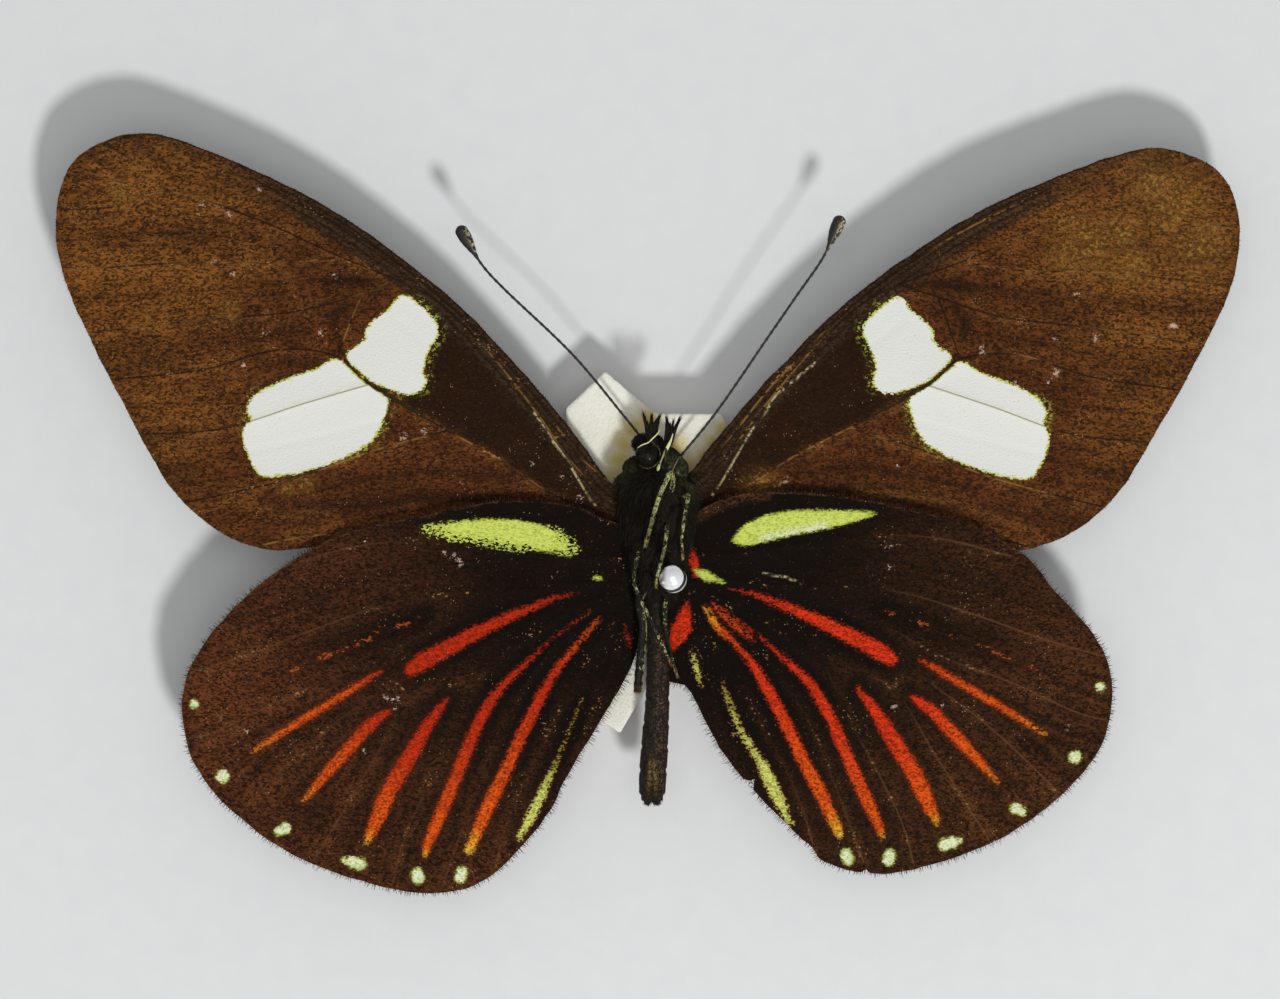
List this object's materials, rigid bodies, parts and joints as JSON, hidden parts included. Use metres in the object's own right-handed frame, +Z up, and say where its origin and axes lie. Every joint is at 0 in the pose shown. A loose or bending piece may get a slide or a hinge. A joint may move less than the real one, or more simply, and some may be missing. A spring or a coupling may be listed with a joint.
{
  "type": "pinned butterfly specimen, archonias brassolis",
  "caption": "Still model of a dried cattleheart white butterfly, spread belly up on a steel pin in a small foam block.",
  "frame": {"origin": "the pin's axis where it would meet the underside of the foam block, in the plane that the block rests on", "axes": "+X across the wings towards the animal's left wings, +Y along the body towards the head, +Z up along the pin, which is the belly's side"},
  "size_m": [0.0632, 0.0404, 0.0137],
  "materials": {
    "wing": "dark brown scaled membrane with white, red, orange and yellow marks, matt",
    "body": "black hair and scales over dry cuticle, matt",
    "eye": "dull black compound eye, slightly glossy",
    "leg": "dark cuticle with pale green scales",
    "steel": "bright polished steel",
    "foam": "pale fine-celled foam, matt"
  },
  "bodies": {
    "root": {"forewing_right": "wing", "forewing_left": "wing", "hindwing_right": "wing", "hindwing_left": "wing", "thorax": "body", "abdomen": "body", "head": "body", "palp_right": "body", "palp_left": "body", "proboscis": "body", "antenna_right": "body", "antenna_left": "body", "eye_right": "eye", "eye_left": "eye", "foreleg_right": "leg", "foreleg_left": "leg", "midleg_right": "leg", "midleg_left": "leg", "hindleg_right": "leg", "hindleg_left": "leg", "pin": "steel", "foam_block": "foam"}
  },
  "joints": []
}
